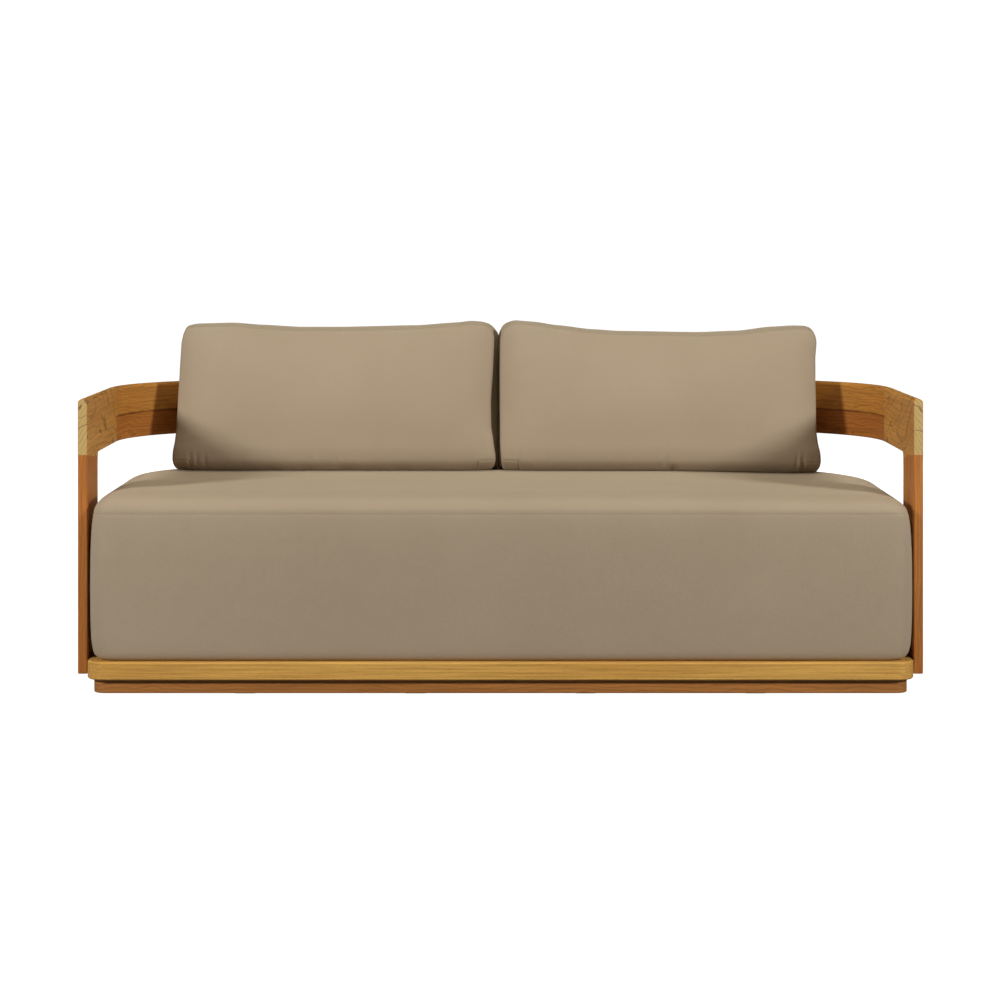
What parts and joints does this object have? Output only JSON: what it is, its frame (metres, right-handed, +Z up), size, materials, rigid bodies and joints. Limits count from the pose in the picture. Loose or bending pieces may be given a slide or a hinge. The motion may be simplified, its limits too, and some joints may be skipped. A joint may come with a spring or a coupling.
{
  "type": "patio loveseat",
  "caption": "Low platform loveseat with a U-shaped flat wooden rail on four board posts, a thick crowned seat cushion and two leaning boxed back cushions.",
  "frame": {"origin": "on the ground, midway along the width and the depth", "axes": "+X along the seat, to the right as seen from the front; +Y from the front to the back; +Z up"},
  "size_m": [1.9, 0.828, 0.7975],
  "materials": {
    "teak": "oiled, open grain",
    "cushion_fabric": "woven, matte",
    "foam": "open-cell foam",
    "zip_tape": "coil zip",
    "zip_metal": "satin",
    "steel": "satin stainless",
    "glide_rubber": "plain",
    "spacer_plastic": "moulded"
  },
  "bodies": {
    "frame": {"arm_block_left": "teak", "arm_block_right": "teak", "back_rail_lower": "teak", "back_rail_upper": "teak", "bearer_1": "teak", "bearer_2": "teak", "bearer_3": "teak", "bearer_4": "teak", "deck_back_board": "teak", "deck_corner_left": "teak", "deck_corner_right": "teak", "deck_front_board": "teak", "deck_side_left": "teak", "deck_side_right": "teak", "front_post_left": "teak", "front_post_right": "teak", "glides": "glide_rubber", "ledger_left": "teak", "ledger_right": "teak", "plinth_back": "teak", "plinth_corner_left": "teak", "plinth_corner_right": "teak", "plinth_cross_left": "teak", "plinth_cross_right": "teak", "plinth_front": "teak", "plinth_side_left": "teak", "plinth_side_right": "teak", "plinth_tenons": "teak", "post_screws": "steel", "post_spacers": "spacer_plastic", "post_tenons": "teak", "rail_corner_lower_left": "teak", "rail_corner_lower_right": "teak", "rail_corner_upper_left": "teak", "rail_corner_upper_right": "teak", "rail_seam_tenons": "teak", "rail_tenons": "teak", "rear_post_left": "teak", "rear_post_right": "teak", "screw_plugs": "teak", "slat_1": "teak", "slat_2": "teak", "slat_3": "teak", "slat_4": "teak", "slat_5": "teak", "slat_6": "teak"},
    "seat_cushion": {"seat_cushion_cover": "cushion_fabric", "seat_cushion_foam": "foam", "seat_cushion_zip": "zip_tape"},
    "seat_zip_slider": {"seat_cushion_slider": "zip_metal"},
    "back_cushion_left": {"back_cushion_cover_left": "cushion_fabric", "back_cushion_foam_left": "foam", "back_cushion_zip_left": "zip_tape"},
    "back_zip_slider_left": {"back_cushion_slider_left": "zip_metal"},
    "back_cushion_right": {"back_cushion_cover_right": "cushion_fabric", "back_cushion_foam_right": "foam", "back_cushion_zip_right": "zip_tape"},
    "back_zip_slider_right": {"back_cushion_slider_right": "zip_metal"}
  },
  "joints": [
    {"name": "seat_cushion_lift", "type": "slide", "parent": "frame", "child": "seat_cushion", "axis": [0, 0, 1], "range_m": [0, 0.6]},
    {"name": "back_cushion_left_lift", "type": "slide", "parent": "seat_cushion", "child": "back_cushion_left", "axis": [0, 0, 1], "range_m": [0, 0.4]},
    {"name": "back_cushion_right_lift", "type": "slide", "parent": "seat_cushion", "child": "back_cushion_right", "axis": [0, 0, 1], "range_m": [0, 0.4]},
    {"name": "seat_zip_slide", "type": "slide", "parent": "seat_cushion", "child": "seat_zip_slider", "axis": [1, 0, 0], "range_m": [0, 1.07]},
    {"name": "back_zip_left_slide", "type": "slide", "parent": "back_cushion_left", "child": "back_zip_slider_left", "axis": [1, 0, 0], "range_m": [0, 0.45]},
    {"name": "back_zip_right_slide", "type": "slide", "parent": "back_cushion_right", "child": "back_zip_slider_right", "axis": [-1, 0, 0], "range_m": [0, 0.45]}
  ]
}
